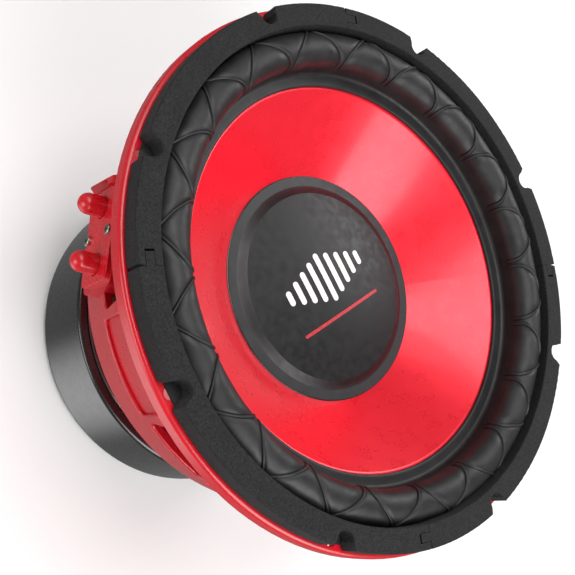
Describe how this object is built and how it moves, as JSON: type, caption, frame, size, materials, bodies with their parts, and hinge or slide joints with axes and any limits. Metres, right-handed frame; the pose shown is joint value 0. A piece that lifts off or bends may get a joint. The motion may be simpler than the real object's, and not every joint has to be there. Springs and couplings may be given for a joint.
{
  "type": "car subwoofer speaker",
  "caption": "Round car subwoofer driver with a painted basket, rubber gasket, rubber half-roll surround, glossy cone, domed cap, booted magnet and push terminals.",
  "frame": {"origin": "centre of the magnet boot's rear face, where the driver stands", "axes": "+Z along the driver's axis, out of the cone; -X is towards the push terminals, one gasket joint lies on +X"},
  "size_m": [0.2604, 0.2604, 0.192],
  "materials": {
    "basket_paint": "glossy red paint on cast aluminium",
    "gasket_rubber": "dense black cellular rubber, fine grain",
    "surround_rubber": "satin black rubber",
    "cone_red": "glossy red",
    "cap_black": "satin black",
    "print_white": "white print",
    "print_red": "red print",
    "former_aluminium": "thin rolled foil",
    "coil_copper": "varnished copper wire",
    "adhesive": "cured black glue",
    "spider_cloth": "resin-treated woven cloth",
    "motor_steel": "zinc-plated steel",
    "ferrite": "sintered ferrite",
    "screen_steel": "blackened mesh",
    "boot_black": "smooth glossy black",
    "screw_steel": "black zinc",
    "terminal_red": "glossy red moulding",
    "terminal_brass": "tinned brass",
    "spring_steel": "spring wire",
    "lead_braid": "woven copper tinsel"
  },
  "bodies": {
    "frame": {"basket": "basket_paint", "gasket_segment_1": "gasket_rubber", "gasket_segment_2": "gasket_rubber", "gasket_segment_3": "gasket_rubber", "gasket_segment_4": "gasket_rubber", "surround": "surround_rubber", "spider": "spider_cloth", "top_plate": "motor_steel", "magnet": "ferrite", "t_yoke": "motor_steel", "vent_screen": "screen_steel", "magnet_boot": "boot_black", "plate_screws": "screw_steel", "terminal_block": "terminal_red", "terminal_block_screws": "screw_steel", "terminal_contact_1": "terminal_brass", "terminal_contact_2": "terminal_brass", "terminal_spring_1": "spring_steel", "terminal_spring_2": "spring_steel", "solder_lug_1": "terminal_brass", "solder_lug_2": "terminal_brass", "tinsel_lead_1": "lead_braid", "tinsel_lead_2": "lead_braid"},
    "cone_assembly": {"cone": "cone_red", "dust_cap": "cap_black", "emblem_bars": "print_white", "emblem_line": "print_red", "voice_coil_former": "former_aluminium", "voice_coil": "coil_copper", "neck_adhesive": "adhesive", "lead_eyelets": "terminal_brass"},
    "push_cap_1": {"terminal_cap_1": "terminal_red"},
    "push_cap_2": {"terminal_cap_2": "terminal_red"}
  },
  "joints": [
    {"name": "cone_travel", "type": "slide", "parent": "frame", "child": "cone_assembly", "axis": [0, 0, 1], "range_m": [-0.008, 0.008], "stiffness_N_per_m": 3200, "deforming": ["surround", "spider", "tinsel_lead_1", "tinsel_lead_2"]},
    {"name": "cap_1_press", "type": "slide", "parent": "frame", "child": "push_cap_1", "axis": [0.9703, -0.2419, 0], "range_m": [0, 0.0024], "stiffness_N_per_m": 600, "springref_m": -0.003, "deforming": ["terminal_spring_1"]},
    {"name": "cap_2_press", "type": "slide", "parent": "frame", "child": "push_cap_2", "axis": [0.9703, -0.2419, 0], "range_m": [0, 0.0024], "stiffness_N_per_m": 600, "springref_m": -0.003, "deforming": ["terminal_spring_2"]}
  ]
}
